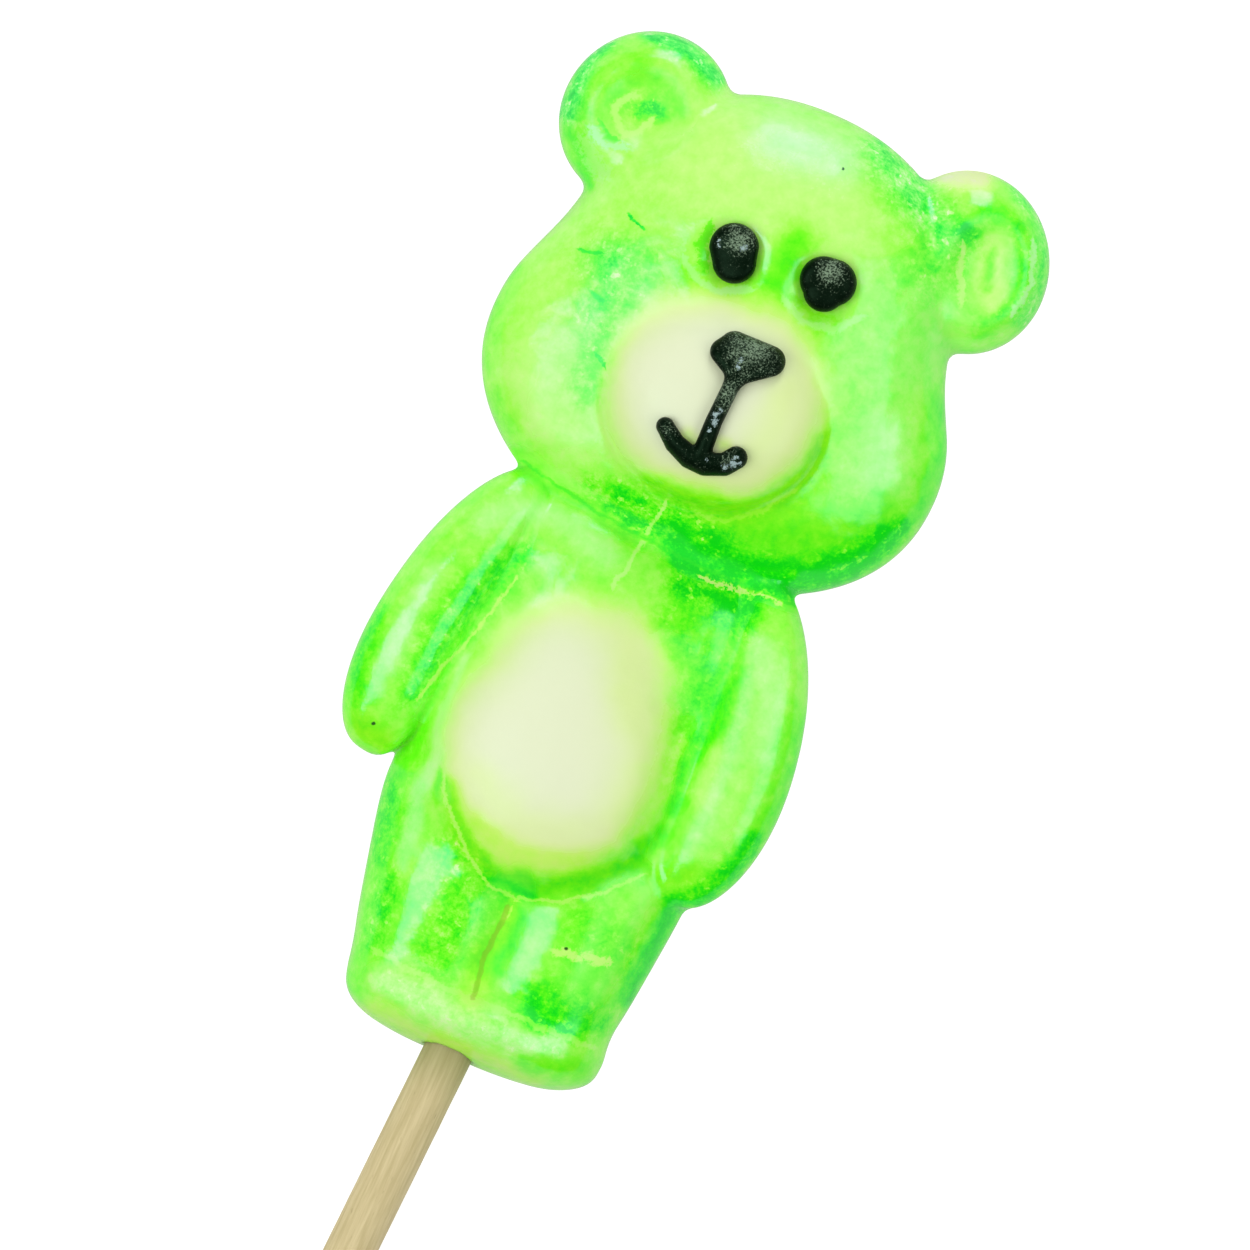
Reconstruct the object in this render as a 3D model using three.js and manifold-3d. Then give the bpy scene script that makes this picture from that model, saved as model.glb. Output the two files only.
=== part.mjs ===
// A bear lollipop: hard candy moulded as a teddy bear, with icing eyes, nose and mouth, on a wooden stick.
// It lies on its flat back. Millimetres, +Z up, +Y towards the head; left and right are the viewer's own.
import * as THREE from "three";
import { mergeVertices } from "three/addons/utils/BufferGeometryUtils.js";
import Module from "manifold-3d";

// ---- Driving dimensions ----------------------------------------------------------------------------

const STICK = {
  diameter: 4,
  length: 150,
  inside: 34, // how much of it is held in the candy
  exit: { x: 1.05, y: -43.6 }, // where its axis leaves the feet
  axisHeight: 4,
  lean: 3, // degrees off the bear's own axis
  endRound: 0.4,
  sides: 24,
};
const GAP = 0.3; // between the candy and each piece set in it or on it
const ICING_RIM = 0.5; // the foot of a bead of icing is upright up to here
const ICING_EDGE = 0.3; // and rounded by this where it meets its underside
const ICING_BLEND = 0.4; // how far strokes that meet run into each other, as a share of their half width

// Each cushion is a rounded form: x, y and z are its middle; width and length run from there to the side and
// the end. Its side is upright up to wall, and its dome stands height above that. turn leans its far end to
// the right, in degrees; taper widens that end, or narrows it if negative; bend bows it to the right, and
// pitch sinks the far end. corner is how square its outline is (2 is an ellipse) and brow how square its
// cross-section is. blend is the radius with which it runs into what it stands on.
const TORSO = {
  x: -0.2, y: -13.5, width: 12.8, length: 16.5, wall: 3, height: 5.4,
  corner: 2.4, brow: 2.6,
};
const SHOULDERS = {
  x: 0.1, y: -5.2, width: 13, length: 6.6, wall: 3, height: 6,
  turn: 4, corner: 2.6, brow: 2.4, blend: 2,
};
const HIPS = {
  x: 1.3, y: -31, width: 11.6, length: 12.3, wall: 3, height: 3.8,
  turn: -2.5, taper: 0.16, corner: 4, brow: 2.8, blend: 0.6,
};
const LEG_LEFT = {
  x: -3.9, y: -31.3, width: 7.1, length: 11.6, wall: 3, height: 6.2,
  turn: -6, taper: 0.18, corner: 4, blend: 0.7,
};
const LEG_RIGHT = {
  x: 6.1, y: -31.3, width: 7.1, length: 11.6, wall: 3, height: 6.2,
  turn: 1, taper: 0.16, corner: 4, blend: 1,
};
const FEET = {
  x: 2, y: -40.6, width: 10.5, length: 3.1, wall: 3, height: 6.8,
  turn: -1, corner: 2.7, blend: 2,
};
const BELLY = {
  x: -0.4, y: -17.2, z: 4, width: 9.9, length: 12.4, height: 8.4,
  taper: -0.12, pitch: 2.2, brow: 2.5, blend: 2.6,
};
const ARM_LEFT = {
  x: -12.6, y: -11.5, width: 3.8, length: 13, wall: 5.8, height: 3.8,
  turn: 9.5, taper: -0.1, bend: -1.4, corner: 2.6, brow: 2.2, blend: 0.7,
};
const ARM_RIGHT = {
  x: 11.3, y: -12.5, width: 3.9, length: 13.6, wall: 5.8, height: 3.8,
  turn: -7, taper: -0.12, bend: 2.3, corner: 2.6, brow: 2.2, blend: 0.7,
};
const EAR_LEFT = {
  x: -13.9, y: 30.7, width: 6.6, length: 7.1, wall: 2.5, height: 5.3,
  turn: 25, brow: 2.3, blend: 1,
};
const EAR_RIGHT = {
  x: 14.2, y: 30.2, width: 6.5, length: 7.3, wall: 2.5, height: 5.3,
  turn: -25, brow: 2.3, blend: 1,
};
const CHEEKS = {
  x: 0.1, y: 12, width: 19.2, length: 13.7, wall: 3, height: 7.8,
  turn: 3, corner: 2.15, brow: 2.4,
};
const CROWN = {
  x: -0.2, y: 21.5, width: 15.9, length: 15.3, wall: 3, height: 8.8,
  corner: 2.15, brow: 2.2, blend: 3,
};
const MUZZLE = {
  x: 0.3, y: 12, z: 6, width: 9.6, length: 8.6, height: 8.8,
  pitch: 1.2, brow: 2.6, blend: 0.9,
};
const NECK_BLEND = 0.9; // where the head meets the body

// Hollows pressed into the candy: one in each ear and a shallow socket round each eye.
const EAR_HOLLOW_LEFT = { x: -14.3, y: 31.2, z: 8.4, width: 3.4, length: 3.4, height: 2.6, blend: 1.6 };
const EAR_HOLLOW_RIGHT = {
  x: 15.7, y: 30, z: 8.4, width: 3, length: 4.1, height: 2.6,
  turn: -12, blend: 1.6,
};
const SOCKET_LEFT = { x: -3.6, y: 23.3, z: 14, width: 4.2, length: 4.2, height: 3.2, blend: 0.6 };
const SOCKET_RIGHT = { x: 4.9, y: 23.8, z: 14, width: 4.3, length: 4.3, height: 3.2, blend: 0.6 };

// Icing is piped along strokes, each a run of [x, y, half width]. Its bead stands height above the candy.
const EYE_LEFT = { height: 1.9, strokes: [[[-3.3, 23.85, 1.98], [-2.85, 22.85, 1.75]]] };
const EYE_RIGHT = { height: 1.9, strokes: [[[4.2, 24.3, 1.88], [5, 24.4, 1.88], [4.6, 23.5, 1.65]]] };
const NOSE = [
  [0.95, 14.9, 1], [-0.85, 15.95, 1.05], [-0.2, 16.7, 1.2], [2.85, 16.7, 1.25],
  [0.95, 14.9, 1], [1.05, 16.1, 1.3], // the last run fills the middle
];
const STEM = [[0.9, 15, 0.9], [0.8, 13.4, 0.68], [0.65, 10.5, 0.68], [0.75, 7.8, 0.75]];
const MOUTH = [
  [-2.75, 8.7, 0.72], [-1.5, 7.75, 0.82], [0, 7.2, 0.92],
  [1.3, 7.15, 0.92], [2.75, 7.75, 0.92], [3.4, 8.6, 0.92],
];
const NOSE_MOUTH = { height: 1.25, strokes: [NOSE, STEM, MOUTH] };

// The forms are worked out on grids of cubic cells, inside these boxes.
const CANDY_CELL = 1.35;
const ICING_CELL = 0.45;
const CANDY_BOX = { low: [-22, -46, -2], high: [22, 39, 17] }; // its floor is below the back, cut flat later
const ICING_LEVELS = [9, 18]; // the icing lies between these heights
const HEADROOM = 1; // free space round a box, in cells
const WITHIN_CELL = 0.44; // a point of a surface stays this near its cell's middle, in cells, so no two meet

const COLOUR = { candy: 0x9bf55c, icing: 0x131d17, wood: 0xd4c49b };

// ---- Forms -----------------------------------------------------------------------------------------
// A form is a function of x, y, z: about the distance to its surface, negative inside.

const radians = THREE.MathUtils.degToRad;

const PLAIN = { z: 0, wall: 0, turn: 0, taper: 0, bend: 0, pitch: 0, corner: 2, brow: 2 };
const TINY = 1e-6; // keeps a division by a length from being one by nothing

function cushion(spec) {
  const { x, y, z, width, length, wall, height, turn, taper, bend, pitch, corner, brow } = {
    ...PLAIN,
    ...spec,
  };
  const [narrowest, widest] = [0.3 * width, 2 * width];
  const cos = Math.cos(radians(turn));
  const sin = Math.sin(radians(turn));
  return (px, py, pz) => {
    const along = ((px - x) * sin + (py - y) * cos) / length;
    const across = (px - x) * cos - (py - y) * sin - bend * (1 - along * along);
    const halfWidth = THREE.MathUtils.clamp(width * (1 + taper * along), narrowest, widest);
    const a = Math.abs(across) / halfWidth;
    const b = Math.abs(along);
    const c = Math.max(Math.abs(pz - z + pitch * along) - wall, 0) / height;
    const flat = Math.max((a ** corner + b ** corner) ** (1 / corner), TINY);
    const round = Math.max((flat ** brow + c ** brow) ** (1 / brow), TINY);
    const slopeFlat = (flat / round) ** (brow - 1);
    const slopeAcross = (a / flat) ** (corner - 1) / halfWidth;
    const slopeAlong = (b / flat) ** (corner - 1) / length;
    const slopeUp = (c / round) ** (brow - 1) / height;
    return (round - 1) / Math.hypot(slopeFlat * slopeAcross, slopeFlat * slopeAlong, slopeUp);
  };
}

// The smaller of two distances, rounded over blend where they are alike.
function softMin(a, b, blend) {
  const near = Math.max(blend - Math.abs(a - b), 0) / blend;
  return Math.min(a, b) - (near * near * blend) / 4;
}

function joined(first, ...others) {
  const base = cushion(first);
  const added = others.map((spec) => [cushion(spec), spec.blend]);
  return (x, y, z) => added.reduce((d, [form, blend]) => softMin(d, form(x, y, z), blend), base(x, y, z));
}

function pressed(form, ...hollows) {
  const cuts = hollows.map((spec) => [cushion(spec), spec.blend]);
  return (x, y, z) => cuts.reduce((d, [cut, blend]) => -softMin(-d, cut(x, y, z), blend), form(x, y, z));
}

function bear() {
  const body = joined(TORSO, SHOULDERS, HIPS, LEG_LEFT, LEG_RIGHT, FEET, BELLY, ARM_LEFT, ARM_RIGHT);
  const head = joined(CHEEKS, CROWN, MUZZLE, EAR_LEFT, EAR_RIGHT);
  const whole = (x, y, z) => softMin(body(x, y, z), head(x, y, z), NECK_BLEND);
  return pressed(whole, EAR_HOLLOW_LEFT, EAR_HOLLOW_RIGHT, SOCKET_LEFT, SOCKET_RIGHT);
}

// How far a point is from the middle of a stroke, as a share of the stroke's half width there.
function offStroke(x, y, stroke) {
  let least = Infinity;
  for (let i = 1; i < stroke.length; i++) {
    const [ax, ay, ar] = stroke[i - 1];
    const [bx, by, br] = stroke[i];
    const run = Math.hypot(bx - ax, by - ay);
    const t = THREE.MathUtils.clamp(((x - ax) * (bx - ax) + (y - ay) * (by - ay)) / (run * run), 0, 1);
    const halfWidth = ar + (br - ar) * t;
    least = Math.min(least, Math.hypot(x - ax - t * (bx - ax), y - ay - t * (by - ay)) / halfWidth);
  }
  return least;
}

// A bead of icing that follows the candy's surface, GAP above it.
function icing({ height, strokes }, candy) {
  return (x, y, z) => {
    const above = candy(x, y, z);
    const offs = strokes.map((stroke) => offStroke(x, y, stroke));
    const off = offs.reduce((a, b) => softMin(a, b, ICING_BLEND));
    const bead = Math.hypot(off, Math.max(above - ICING_RIM, 0) / (height - ICING_RIM)) - 1;
    return -softMin(-bead * height, above - GAP, ICING_EDGE);
  };
}

// ---- From a form to a closed surface ---------------------------------------------------------------

// A cell of the grid has 8 corners, numbered with one bit for each axis, 12 edges and 6 sides.
const AXES = [0, 1, 2];
const CORNERS = [0, 1, 2, 3, 4, 5, 6, 7];
const PATTERNS = 2 ** CORNERS.length; // ways for the corners to lie in or out
const bit = (number, axis) => (number >> axis) & 1;
const EDGES = AXES.flatMap((axis) =>
  CORNERS.filter((c) => !bit(c, axis)).map((from) => ({ from, to: from | (1 << axis), axis })),
);
const SIDES = AXES.flatMap((axis) => [0, 1].map((end) => CORNERS.filter((c) => bit(c, axis) === end)));

// The surface runs through a cell in one loop of edges or more. This gives each edge the number of its loop,
// for the corners that lie inside the form. Two edges on a side are in one loop. Four are paired by corner.
function loopsThrough(inside) {
  let loop = EDGES.map((_, n) => n);
  const crossed = loop.filter((n) => bit(inside, EDGES[n].from) !== bit(inside, EDGES[n].to));
  const unite = ([a, b]) => {
    loop = loop.map((v) => (v === loop[b] ? loop[a] : v));
  };
  for (const side of SIDES) {
    const met = crossed.filter((n) => side.includes(EDGES[n].from) && side.includes(EDGES[n].to));
    if (met.length === 2) unite(met);
    if (met.length < 4) continue;
    for (const corner of side.filter((c) => bit(inside, c)))
      unite(met.filter((n) => EDGES[n].from === corner || EDGES[n].to === corner));
  }
  return loop;
}

const loopsOf = Array.from({ length: PATTERNS }, (_, inside) => loopsThrough(inside));

// Each loop of edges through a cell gets one point. Each grid edge that the surface crosses gets a face with
// four sides, between the points of the four cells round it.
function surfaceOf(form, { low, high }, cell) {
  const count = low.map((v, axis) => Math.ceil((high[axis] - v) / cell) + 2 * HEADROOM + 1);
  const place = (spot) => spot.map((v, axis) => low[axis] + (v - HEADROOM) * cell);
  const index = ([i, j, k]) => (k * count[1] + j) * count[0] + i;
  const cornerOf = (here, c) => here.map((v, axis) => v + bit(c, axis));
  const value = new Float64Array(count[0] * count[1] * count[2]);
  const eachNode = function* (first) {
    for (let k = first; k < count[2] - first; k++)
      for (let j = first; j < count[1] - first; j++)
        for (let i = first; i < count[0] - first; i++) yield [i, j, k];
  };
  for (const here of eachNode(0)) value[index(here)] = form(...place(here));

  const points = [];
  const known = new Map();
  const pointIn = (here, edge) => {
    const values = CORNERS.map((c) => value[index(cornerOf(here, c))]);
    const loop = loopsOf[values.reduce((bits, v, c) => bits | ((v < 0) << c), 0)];
    const key = index(here) * EDGES.length + loop[edge];
    if (known.has(key)) return known.get(key);
    const sum = new THREE.Vector3();
    const members = EDGES.filter((_, n) => loop[n] === loop[edge]);
    for (const { from, to, axis } of members) {
      const spot = cornerOf(here, from);
      spot[axis] += values[from] / (values[from] - values[to]);
      sum.add(new THREE.Vector3(...place(spot)));
    }
    const middle = new THREE.Vector3(...place(here.map((v) => v + 0.5)));
    points.push(settled(sum.divideScalar(members.length), form, middle, WITHIN_CELL * cell));
    known.set(key, points.length - 1);
    return points.length - 1;
  };

  const triangles = [];
  for (const here of eachNode(1))
    for (const axis of AXES) {
      const inside = value[index(here)] < 0;
      if (inside === value[index(cornerOf(here, 1 << axis))] < 0) continue;
      const [u, v] = [1 << ((axis + 1) % 3), 1 << ((axis + 2) % 3)];
      const around = [u | v, v, 0, u].map((corner) => {
        const edge = EDGES.findIndex((e) => e.axis === axis && e.from === corner);
        return pointIn(here.map((n, k) => n - bit(corner, k)), edge);
      });
      if (!inside) around.reverse();
      const [p, q, r, s] = around;
      const short = points[p].distanceTo(points[r]) < points[q].distanceTo(points[s]);
      triangles.push(...(short ? [p, q, r, p, r, s] : [q, r, s, q, s, p]));
    }
  return solidFrom(points, triangles);
}

// Moves a point along the form's slope onto its surface, but keeps it within reach of its cell's middle.
function settled(point, form, middle, reach) {
  const step = 0.01;
  const steps = 3;
  const leastSlope = 0.25; // squared; a flatter spot would throw the point too far
  const value = (dx, dy, dz) => form(point.x + dx, point.y + dy, point.z + dz);
  for (let n = 0; n < steps; n++) {
    const slope = new THREE.Vector3(
      value(step, 0, 0) - value(-step, 0, 0),
      value(0, step, 0) - value(0, -step, 0),
      value(0, 0, step) - value(0, 0, -step),
    ).divideScalar(2 * step);
    point.addScaledVector(slope, -value(0, 0, 0) / Math.max(slope.lengthSq(), leastSlope));
  }
  const corner = new THREE.Vector3(reach, reach, reach);
  return point.clamp(middle.clone().sub(corner), middle.clone().add(corner));
}

// ---- Solids ----------------------------------------------------------------------------------------

const wasm = await Module();
wasm.setup();

function solidFrom(points, triangles) {
  const vertProperties = new Float32Array(points.flatMap((p) => p.toArray()));
  const triVerts = new Uint32Array(triangles);
  return new wasm.Manifold(new wasm.Mesh({ numProp: 3, vertProperties, triVerts }));
}

function solidOf(geometry) {
  const bare = geometry.clone();
  bare.deleteAttribute("normal");
  bare.deleteAttribute("uv");
  const merged = mergeVertices(bare);
  const position = merged.getAttribute("position");
  const point = (_, i) => new THREE.Vector3().fromBufferAttribute(position, i);
  return solidFrom(Array.from({ length: position.count }, point), [...merged.index.array]);
}

// The solid without any scrap that a thin edge has left beside it.
function largestBody(solid) {
  return solid.decompose().reduce((best, body) => (body.volume() > best.volume() ? body : best));
}

function geometryOf(solid) {
  const { vertProperties, triVerts } = solid.getMesh();
  const geometry = new THREE.BufferGeometry();
  geometry.setAttribute("position", new THREE.BufferAttribute(vertProperties, 3));
  geometry.setIndex(new THREE.BufferAttribute(triVerts, 1));
  geometry.computeVertexNormals();
  return geometry;
}

// ---- The stick -------------------------------------------------------------------------------------

// A lathe round +Y, from the end in the candy at y = 0 down to the free end, both ends slightly rounded.
function stickGeometry() {
  const r = STICK.diameter / 2;
  const e = STICK.endRound;
  const arc = [30, 60, 90].map((a) => [r - e + e * Math.sin(radians(a)), e * (1 - Math.cos(radians(a)))]);
  const end = [[0, 0], [r - e, 0], ...arc];
  const far = end.map(([x, y]) => [x, STICK.length - y]).reverse();
  const profile = [...end, ...far].map(([x, y]) => new THREE.Vector2(x, y - STICK.length));
  return new THREE.LatheGeometry(profile, STICK.sides);
}

// Turns something made along +Y onto the stick's line, with y = 0 at the end held in the candy.
function setOnStickLine(object) {
  const lean = radians(STICK.lean);
  object.rotation.z = -lean;
  object.position.set(
    STICK.exit.x + STICK.inside * Math.sin(lean),
    STICK.exit.y + STICK.inside * Math.cos(lean),
    STICK.axisHeight,
  );
  return object;
}

// The hole that the stick sits in, GAP wider all round and GAP deeper. It runs on past the feet.
function stickHole() {
  const past = 5;
  const depth = STICK.inside + GAP + past;
  const radius = STICK.diameter / 2 + GAP;
  const geometry = new THREE.CylinderGeometry(radius, radius, depth, STICK.sides);
  const hole = setOnStickLine(new THREE.Object3D());
  hole.updateMatrix();
  return solidOf(geometry.translate(0, GAP - depth / 2, 0).applyMatrix4(hole.matrix));
}

// ---- The candy and the icing -----------------------------------------------------------------------

const candy = bear();

function candySolid() {
  const { low, high } = CANDY_BOX;
  const bottomed = (x, y, z) => Math.max(candy(x, y, z), low[2] - z);
  const size = high.map((v, axis) => 2 * (v - low[axis]));
  const aboveBack = new THREE.BoxGeometry(...size).translate(0, 0, size[2] / 2);
  return surfaceOf(bottomed, CANDY_BOX, CANDY_CELL).intersect(solidOf(aboveBack)).subtract(stickHole());
}

function icingSolid(spec) {
  const ends = spec.strokes.flat();
  const low = [0, 1].map((axis) => Math.min(...ends.map((p) => p[axis] - p[2])));
  const high = [0, 1].map((axis) => Math.max(...ends.map((p) => p[axis] + p[2])));
  const box = { low: [...low, ICING_LEVELS[0]], high: [...high, ICING_LEVELS[1]] };
  return largestBody(surfaceOf(icing(spec, candy), box, ICING_CELL));
}

function mesh(name, geometry, color, roughness) {
  const made = new THREE.Mesh(geometry, new THREE.MeshStandardMaterial({ color, roughness, metalness: 0 }));
  made.name = name;
  return made;
}

const lollipop = new THREE.Group();
lollipop.name = "bear_lollipop";
lollipop.add(
  mesh("candy_body", geometryOf(candySolid()), COLOUR.candy, 0.15),
  mesh("eye_left", geometryOf(icingSolid(EYE_LEFT)), COLOUR.icing, 0.45),
  mesh("eye_right", geometryOf(icingSolid(EYE_RIGHT)), COLOUR.icing, 0.45),
  mesh("nose_mouth", geometryOf(icingSolid(NOSE_MOUTH)), COLOUR.icing, 0.45),
  setOnStickLine(mesh("stick", stickGeometry(), COLOUR.wood, 0.75)),
);

export default lollipop;
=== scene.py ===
import math

import bpy
import numpy as np
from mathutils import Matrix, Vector, noise


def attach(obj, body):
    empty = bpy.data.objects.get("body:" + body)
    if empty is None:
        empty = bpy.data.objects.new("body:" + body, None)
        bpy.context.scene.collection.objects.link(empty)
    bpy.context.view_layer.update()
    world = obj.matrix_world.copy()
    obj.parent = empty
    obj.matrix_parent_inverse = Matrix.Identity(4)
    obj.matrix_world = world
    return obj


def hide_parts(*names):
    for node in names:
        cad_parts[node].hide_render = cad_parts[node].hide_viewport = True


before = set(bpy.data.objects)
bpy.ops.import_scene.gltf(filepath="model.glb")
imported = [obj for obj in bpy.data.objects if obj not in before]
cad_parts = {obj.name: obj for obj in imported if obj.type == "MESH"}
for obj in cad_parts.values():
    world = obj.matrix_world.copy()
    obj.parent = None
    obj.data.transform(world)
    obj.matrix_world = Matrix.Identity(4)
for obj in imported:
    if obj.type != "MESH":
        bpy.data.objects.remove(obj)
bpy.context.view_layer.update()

MM = 0.001

# ---- The view --------------------------------------------------------------------------------------
# The camera looks straight down on x and y from this distance, sees this width, and is turned in degrees.
VIEW = {"x": 0.55, "y": -7.03, "width": 99.4, "turn": 23.25, "distance": 3500, "sensor": 36}
WORLD_LIGHT = {"level": 0.4, "mirrored": 0.06}  # the room is dim in reflections, as in a tent of softboxes
# Each softbox is at an azimuth from +X towards +Y and a height in degrees, and faces the bear.
SOFTBOXES = {
    "left": {"azimuth": 204, "up": 58, "wide": 520, "long": 420, "radiance": 4.1},
    "right": {"azimuth": 8, "up": 50, "wide": 600, "long": 380, "radiance": 2.1},
    "top": {"azimuth": 97, "up": 20, "wide": 240, "long": 420, "radiance": 4.6},
}
SOFTBOX_AWAY = 700
LIT_HEIGHT = 5  # the softboxes face a place this high above the back
FLOOR = {"size": 3000, "colour": 0.25, "roughness": 0.9, "glow": 0.9, "mirrored": 0.3}
WHITE = (1, 1, 1, 1)

# ---- The forms, as the solids have them ------------------------------------------------------------
# The stick leaves the candy at x, y and z, with this much of it inside, and leans its free end to the left,
# in degrees. Each of its end faces has a groove this deep before its edge.
STICK = {"diameter": 4, "length": 150, "inside": 34, "x": 1.05, "y": -43.6, "z": 4, "lean": 3, "groove": 0.4}
STICK_SIDES = 72
STICK_RINGS = 260
STICK_END = [0.5, 1.1]  # the radii of the rings on the flat middle of its end faces
STICK_ROUGH = {"depth": 0.03, "across": 3, "along": 0.25, "from": 1.5}  # from is the least radius that has it

# Each cushion is a rounded form: x, y and z are its middle; width and length run from there to the side and
# the end. Its side is upright up to wall, and its dome stands height above that. turn leans its far end to
# the right, in degrees, taper widens that end, bend bows it to the right and pitch sinks it. corner and brow
# say how square its outline and its cross-section are, and blend is the radius with which it joins the rest.
BODY = [
    dict(x=-0.2, y=-13.5, width=12.8, length=16.5, wall=3, height=5.4, corner=2.4, brow=2.6),
    dict(x=0.1, y=-5.2, width=13, length=6.6, wall=3, height=6, turn=4, corner=2.6, brow=2.4, blend=2),
    dict(x=1.3, y=-31, width=11.6, length=12.3, wall=3, height=3.8,
         turn=-2.5, taper=0.16, corner=4, brow=2.8, blend=0.6),
    dict(x=-3.9, y=-31.3, width=7.1, length=11.6, wall=3, height=6.2,
         turn=-6, taper=0.18, corner=4, blend=0.7),
    dict(x=6.1, y=-31.3, width=7.1, length=11.6, wall=3, height=6.2, turn=1, taper=0.16, corner=4, blend=1),
    dict(x=2, y=-40.6, width=10.5, length=3.1, wall=3, height=6.8, turn=-1, corner=2.7, blend=2),
    dict(x=-0.4, y=-17.2, z=4, width=9.9, length=12.4, height=8.4,
         taper=-0.12, pitch=2.2, brow=2.5, blend=2.6),
    dict(x=-12.6, y=-11.5, width=3.8, length=13, wall=5.8, height=3.8,
         turn=9.5, taper=-0.1, bend=-1.4, corner=2.6, brow=2.2, blend=0.7),
    dict(x=11.3, y=-12.5, width=3.9, length=13.6, wall=5.8, height=3.8,
         turn=-7, taper=-0.12, bend=2.3, corner=2.6, brow=2.2, blend=0.7),
]
HEAD = [
    dict(x=0.1, y=12, width=19.2, length=13.7, wall=3, height=7.8, turn=3, corner=2.15, brow=2.4),
    dict(x=-0.2, y=21.5, width=15.9, length=15.3, wall=3, height=8.8, corner=2.15, brow=2.2, blend=3),
    dict(x=0.3, y=12, z=6, width=9.6, length=8.6, height=8.8, pitch=1.2, brow=2.6, blend=0.9),
    dict(x=-13.9, y=30.7, width=6.6, length=7.1, wall=2.5, height=5.3, turn=25, brow=2.3, blend=1),
    dict(x=14.2, y=30.2, width=6.5, length=7.3, wall=2.5, height=5.3, turn=-25, brow=2.3, blend=1),
]
NECK_BLEND = 0.9
HOLLOWS = [
    dict(x=-14.3, y=31.2, z=8.4, width=3.4, length=3.4, height=2.6, blend=1.6),
    dict(x=15.7, y=30, z=8.4, width=3, length=4.1, height=2.6, turn=-12, blend=1.6),
    dict(x=-3.6, y=23.3, z=14, width=4.2, length=4.2, height=3.2, blend=0.6),
    dict(x=4.9, y=23.8, z=14, width=4.3, length=4.3, height=3.2, blend=0.6),
]
PLAIN = {"z": 0, "wall": 0, "turn": 0, "taper": 0, "bend": 0, "pitch": 0, "corner": 2, "brow": 2}
TAPER_RANGE = [0.3, 2]  # how narrow and how wide a taper may make a cushion
TINY = 1e-6  # keeps a cushion's middle from dividing by nothing

# Icing is piped along strokes, each a run of [x, y, half width]. Its bead stands height above the candy.
ICING = {
    "eye_left": {"height": 1.9, "strokes": [[[-3.3, 23.85, 1.98], [-2.85, 22.85, 1.75]]]},
    "eye_right": {"height": 1.9, "strokes": [[[4.2, 24.3, 1.88], [5, 24.4, 1.88], [4.6, 23.5, 1.65]]]},
    "nose_mouth": {"height": 1.25, "strokes": [
        [[0.95, 14.9, 1], [-0.85, 15.95, 1.05], [-0.2, 16.7, 1.2], [2.85, 16.7, 1.25],
         [0.95, 14.9, 1], [1.05, 16.1, 1.3]],
        [[0.9, 15, 0.9], [0.8, 13.4, 0.68], [0.65, 10.5, 0.68], [0.75, 7.8, 0.75]],
        [[-2.75, 8.7, 0.72], [-1.5, 7.75, 0.82], [0, 7.2, 0.92],
         [1.3, 7.15, 0.92], [2.75, 7.75, 0.92], [3.4, 8.6, 0.92]],
    ]},
}
ICING_RIM = 0.5  # the foot of a bead of icing is upright up to here
ICING_SINK = 0.15  # and its underside is this far inside the candy
ICING_EDGE = 0.3  # and rounded by this
ICING_BLEND = 0.4  # how far strokes that meet run into each other, as a share of their half width

BACK_RIM = 1.1  # the radius between the sides and the flat back
STICK_SEAT = {"play": 0.03, "edge": 0.5}  # the candy is cast onto the stick
CANDY_CELL = 0.36  # the size of the cells that a mesh is made from
ICING_CELL = 0.13
CANDY_BOX = [[-22, -46, -1], [22, 39, 15]]
ICING_LEVELS = [9, 17.5]
# A mesh's points move onto the form's surface in rounds, by its slope over a step. flattest is the least
# slope squared, and reach is how far from a cell's middle its point may go, as a share of the cell.
SETTLE = {"rounds": 3, "step": 0.01, "flattest": 0.25, "reach": 0.48}


def cushion(spec):
    """How far points are from a cushion, true near its surface and below 0 inside it."""
    s = {**PLAIN, **spec}
    cos, sin = math.cos(math.radians(s["turn"])), math.sin(math.radians(s["turn"]))

    def distance(px, py, pz):
        along = ((px - s["x"]) * sin + (py - s["y"]) * cos) / s["length"]
        across = (px - s["x"]) * cos - (py - s["y"]) * sin - s["bend"] * (1 - along * along)
        width = s["width"] * np.clip(1 + s["taper"] * along, *TAPER_RANGE)
        a = np.abs(across) / width
        b = np.abs(along)
        c = np.maximum(np.abs(pz - s["z"] + s["pitch"] * along) - s["wall"], 0) / s["height"]
        flat = np.maximum((a ** s["corner"] + b ** s["corner"]) ** (1 / s["corner"]), TINY)
        full = np.maximum((flat ** s["brow"] + c ** s["brow"]) ** (1 / s["brow"]), TINY)
        slope_flat = (flat / full) ** (s["brow"] - 1)
        slope_across = slope_flat * (a / flat) ** (s["corner"] - 1) / width
        slope_along = slope_flat * (b / flat) ** (s["corner"] - 1) / s["length"]
        slope_up = (c / full) ** (s["brow"] - 1) / s["height"]
        return (full - 1) / np.sqrt(slope_across ** 2 + slope_along ** 2 + slope_up ** 2)

    return distance


def soft_min(a, b, blend):
    """The lesser of two distances, with a rounded join where they are alike."""
    near = np.maximum(blend - np.abs(a - b), 0) / blend
    return np.minimum(a, b) - near * near * blend / 4


def soft_max(a, b, blend):
    return -soft_min(-a, -b, blend)


def joined(specs, x, y, z):
    d = cushion(specs[0])(x, y, z)
    for spec in specs[1:]:
        d = soft_min(d, cushion(spec)(x, y, z), spec["blend"])
    return d


def bear(x, y, z):
    """The moulded bear without its flat back."""
    d = soft_min(joined(BODY, x, y, z), joined(HEAD, x, y, z), NECK_BLEND)
    for spec in HOLLOWS:
        d = soft_max(d, -cushion(spec)(x, y, z), spec["blend"])
    return d


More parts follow.
